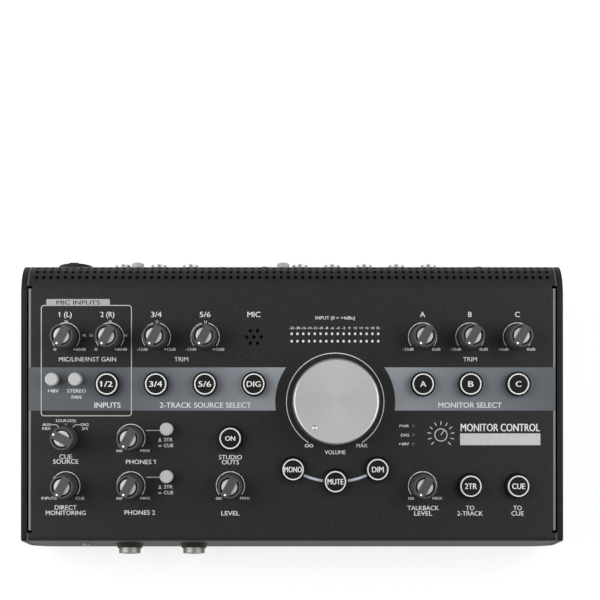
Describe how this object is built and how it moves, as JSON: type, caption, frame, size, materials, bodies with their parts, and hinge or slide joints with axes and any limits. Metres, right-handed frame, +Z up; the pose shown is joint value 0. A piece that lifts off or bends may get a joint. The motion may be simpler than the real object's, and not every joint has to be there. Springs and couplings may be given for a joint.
{
  "type": "studio monitor controller",
  "caption": "Desktop wedge of folded black steel with a large aluminium volume knob, small pointer knobs, ringed push buttons, a level meter and plug sockets front and rear.",
  "frame": {"origin": "on the table under the middle of the object's box, sockets and caps included", "axes": "+Z up, +X to the user's right along the width, +Y from the user towards the rear sockets"},
  "size_m": [0.3, 0.1636, 0.0805],
  "materials": {
    "panel_black": "fine textured satin powder coat",
    "side_black": "fine textured satin powder coat",
    "foot_rubber": "matte",
    "screw_black": "black oxide",
    "board_green": "solder mask",
    "nickel": "nickel plate, satin",
    "inner_plastic": "matte",
    "meter_white": "white diffuser",
    "led_green": "dark green lens, unlit",
    "socket_black": "moulded, satin",
    "rocker_black": "semi-gloss",
    "knob_aluminium": "spun and bead blasted, clear anodised",
    "knob_grey": "soft-touch, dark grey",
    "button_black": "satin",
    "cap_grey": "satin light grey",
    "knob_insert": "light satin disc",
    "print_grey": "screen print",
    "stripe_blue": "screen printed band, blue grey",
    "ring_white": "translucent ring and legend"
  },
  "bodies": {
    "case": {"base_chassis": "side_black", "board_standoffs": "nickel", "button_switches": "inner_plastic", "case_screws": "screw_black", "combo_sockets": "socket_black", "control_board": "board_green", "cue_switch_body": "inner_plastic", "footswitch_jack": "socket_black", "latching_switches": "inner_plastic", "main_board": "board_green", "meter_light_bar": "meter_white", "phones_jack_collars": "socket_black", "phones_jacks": "nickel", "pot_bodies": "inner_plastic", "power_inlet": "socket_black", "power_switch_body": "socket_black", "rear_jack_nuts": "nickel", "rear_jacks": "nickel", "rubber_feet": "foot_rubber", "side_liners": "side_black", "small_jack": "nickel", "status_leds": "led_green", "talkback_mic": "nickel", "top_cover": "panel_black", "usb_socket": "nickel", "volume_pot": "inner_plastic"},
    "volume_knob": {"volume_knob": "knob_aluminium"},
    "gain_knob_1": {"gain_knob_1": "knob_grey"},
    "gain_knob_2": {"gain_knob_2": "knob_grey"},
    "trim_knob_3_4": {"trim_knob_3_4": "knob_grey"},
    "trim_knob_5_6": {"trim_knob_5_6": "knob_grey"},
    "monitor_trim_knob_a": {"monitor_trim_knob_a": "knob_grey"},
    "monitor_trim_knob_b": {"monitor_trim_knob_b": "knob_grey"},
    "monitor_trim_knob_c": {"monitor_trim_knob_c": "knob_grey"},
    "phones_knob_1": {"phones_knob_1": "knob_grey"},
    "phones_knob_2": {"phones_knob_2": "knob_grey"},
    "direct_monitor_knob": {"direct_monitor_knob": "knob_grey"},
    "studio_level_knob": {"studio_level_knob": "knob_grey"},
    "talkback_level_knob": {"talkback_level_knob": "knob_grey"},
    "cue_source_knob": {"cue_source_knob": "knob_grey"},
    "source_button_1": {"source_button_1": "button_black"},
    "source_button_2": {"source_button_2": "button_black"},
    "source_button_3": {"source_button_3": "button_black"},
    "source_button_4": {"source_button_4": "button_black"},
    "monitor_button_a": {"monitor_button_a": "button_black"},
    "monitor_button_b": {"monitor_button_b": "button_black"},
    "monitor_button_c": {"monitor_button_c": "button_black"},
    "studio_button": {"studio_button": "button_black"},
    "mono_button": {"mono_button": "button_black"},
    "mute_button": {"mute_button": "button_black"},
    "dim_button": {"dim_button": "button_black"},
    "talkback_button_track": {"talkback_button_track": "button_black"},
    "talkback_button_cue": {"talkback_button_cue": "button_black"},
    "phantom_cap": {"phantom_cap": "cap_grey"},
    "stereo_cap": {"stereo_cap": "cap_grey"},
    "phones_cap_1": {"phones_cap_1": "cap_grey"},
    "phones_cap_2": {"phones_cap_2": "cap_grey"},
    "level_cap_left": {"level_cap_left": "cap_grey"},
    "level_cap_right": {"level_cap_right": "cap_grey"},
    "power_rocker": {"power_rocker": "rocker_black"}
  },
  "joints": [
    {"name": "volume_knob_turn", "type": "hinge", "parent": "case", "child": "volume_knob", "pos_m": [0.0239, -0.00075, 0.05701], "axis": [0, -0.1564, 0.9877], "range_deg": [-287.3, 6.3]},
    {"name": "gain_knob_1_turn", "type": "hinge", "parent": "case", "child": "gain_knob_1", "pos_m": [-0.1254, 0.03471, 0.06263], "axis": [0, -0.1564, 0.9877], "range_deg": [-300, 0]},
    {"name": "gain_knob_2_turn", "type": "hinge", "parent": "case", "child": "gain_knob_2", "pos_m": [-0.101, 0.03471, 0.06263], "axis": [0, -0.1564, 0.9877], "range_deg": [-300, 0]},
    {"name": "trim_knob_3_4_turn", "type": "hinge", "parent": "case", "child": "trim_knob_3_4", "pos_m": [-0.0751, 0.03471, 0.06263], "axis": [0, -0.1564, 0.9877], "range_deg": [-300, 0]},
    {"name": "trim_knob_5_6_turn", "type": "hinge", "parent": "case", "child": "trim_knob_5_6", "pos_m": [-0.0481, 0.03471, 0.06263], "axis": [0, -0.1564, 0.9877], "range_deg": [-300, 0]},
    {"name": "monitor_trim_knob_a_turn", "type": "hinge", "parent": "case", "child": "monitor_trim_knob_a", "pos_m": [0.07225, 0.03471, 0.06263], "axis": [0, -0.1564, 0.9877], "range_deg": [-300, 0]},
    {"name": "monitor_trim_knob_b_turn", "type": "hinge", "parent": "case", "child": "monitor_trim_knob_b", "pos_m": [0.0985, 0.03471, 0.06263], "axis": [0, -0.1564, 0.9877], "range_deg": [-300, 0]},
    {"name": "monitor_trim_knob_c_turn", "type": "hinge", "parent": "case", "child": "monitor_trim_knob_c", "pos_m": [0.12475, 0.03471, 0.06263], "axis": [0, -0.1564, 0.9877], "range_deg": [-300, 0]},
    {"name": "phones_knob_1_turn", "type": "hinge", "parent": "case", "child": "phones_knob_1", "pos_m": [-0.0892, -0.0207, 0.05385], "axis": [0, -0.1564, 0.9877], "range_deg": [-300, 0]},
    {"name": "phones_knob_2_turn", "type": "hinge", "parent": "case", "child": "phones_knob_2", "pos_m": [-0.0892, -0.04667, 0.04974], "axis": [0, -0.1564, 0.9877], "range_deg": [-300, 0]},
    {"name": "direct_monitor_knob_turn", "type": "hinge", "parent": "case", "child": "direct_monitor_knob", "pos_m": [-0.1252, -0.04667, 0.04974], "axis": [0, -0.1564, 0.9877], "range_deg": [-300, 0]},
    {"name": "studio_level_knob_turn", "type": "hinge", "parent": "case", "child": "studio_level_knob", "pos_m": [-0.0341, -0.04667, 0.04974], "axis": [0, -0.1564, 0.9877], "range_deg": [-300, 0]},
    {"name": "talkback_level_knob_turn", "type": "hinge", "parent": "case", "child": "talkback_level_knob", "pos_m": [0.07225, -0.04667, 0.04974], "axis": [0, -0.1564, 0.9877], "range_deg": [-300, 0]},
    {"name": "cue_source_knob_turn", "type": "hinge", "parent": "case", "child": "cue_source_knob", "pos_m": [-0.1252, -0.0207, 0.05385], "axis": [0, -0.1564, 0.9877], "range_deg": [-90, 0]},
    {"name": "source_button_1_press", "type": "slide", "parent": "case", "child": "source_button_1", "axis": [0, 0.1564, -0.9877], "range_m": [0, 0.0015], "stiffness_N_per_m": 600},
    {"name": "source_button_2_press", "type": "slide", "parent": "case", "child": "source_button_2", "axis": [0, 0.1564, -0.9877], "range_m": [0, 0.0015], "stiffness_N_per_m": 600},
    {"name": "source_button_3_press", "type": "slide", "parent": "case", "child": "source_button_3", "axis": [0, 0.1564, -0.9877], "range_m": [0, 0.0015], "stiffness_N_per_m": 600},
    {"name": "source_button_4_press", "type": "slide", "parent": "case", "child": "source_button_4", "axis": [0, 0.1564, -0.9877], "range_m": [0, 0.0015], "stiffness_N_per_m": 600},
    {"name": "monitor_button_a_press", "type": "slide", "parent": "case", "child": "monitor_button_a", "axis": [0, 0.1564, -0.9877], "range_m": [0, 0.0015], "stiffness_N_per_m": 600},
    {"name": "monitor_button_b_press", "type": "slide", "parent": "case", "child": "monitor_button_b", "axis": [0, 0.1564, -0.9877], "range_m": [0, 0.0015], "stiffness_N_per_m": 600},
    {"name": "monitor_button_c_press", "type": "slide", "parent": "case", "child": "monitor_button_c", "axis": [0, 0.1564, -0.9877], "range_m": [0, 0.0015], "stiffness_N_per_m": 600},
    {"name": "studio_button_press", "type": "slide", "parent": "case", "child": "studio_button", "axis": [0, 0.1564, -0.9877], "range_m": [0, 0.0015], "stiffness_N_per_m": 600},
    {"name": "mono_button_press", "type": "slide", "parent": "case", "child": "mono_button", "axis": [0, 0.1564, -0.9877], "range_m": [0, 0.0015], "stiffness_N_per_m": 600},
    {"name": "mute_button_press", "type": "slide", "parent": "case", "child": "mute_button", "axis": [0, 0.1564, -0.9877], "range_m": [0, 0.0015], "stiffness_N_per_m": 600},
    {"name": "dim_button_press", "type": "slide", "parent": "case", "child": "dim_button", "axis": [0, 0.1564, -0.9877], "range_m": [0, 0.0015], "stiffness_N_per_m": 600},
    {"name": "talkback_button_track_press", "type": "slide", "parent": "case", "child": "talkback_button_track", "axis": [0, 0.1564, -0.9877], "range_m": [0, 0.0015], "stiffness_N_per_m": 600},
    {"name": "talkback_button_cue_press", "type": "slide", "parent": "case", "child": "talkback_button_cue", "axis": [0, 0.1564, -0.9877], "range_m": [0, 0.0015], "stiffness_N_per_m": 600},
    {"name": "phantom_cap_press", "type": "slide", "parent": "case", "child": "phantom_cap", "axis": [0, 0.1564, -0.9877], "range_m": [0, 0.0025], "stiffness_N_per_m": 500},
    {"name": "stereo_cap_press", "type": "slide", "parent": "case", "child": "stereo_cap", "axis": [0, 0.1564, -0.9877], "range_m": [0, 0.0025], "stiffness_N_per_m": 500},
    {"name": "phones_cap_1_press", "type": "slide", "parent": "case", "child": "phones_cap_1", "axis": [0, 0.1564, -0.9877], "range_m": [0, 0.0025], "stiffness_N_per_m": 500},
    {"name": "phones_cap_2_press", "type": "slide", "parent": "case", "child": "phones_cap_2", "axis": [0, 0.1564, -0.9877], "range_m": [0, 0.0025], "stiffness_N_per_m": 500},
    {"name": "level_cap_left_press", "type": "slide", "parent": "case", "child": "level_cap_left", "axis": [0, -1, 0], "range_m": [0, 0.0025], "stiffness_N_per_m": 500},
    {"name": "level_cap_right_press", "type": "slide", "parent": "case", "child": "level_cap_right", "axis": [0, -1, 0], "range_m": [0, 0.0025], "stiffness_N_per_m": 500},
    {"name": "power_rocker_turn", "type": "hinge", "parent": "case", "child": "power_rocker", "pos_m": [0.133, 0.0724, 0.027], "axis": [1, 0, 0], "range_deg": [-16, 0]}
  ]
}
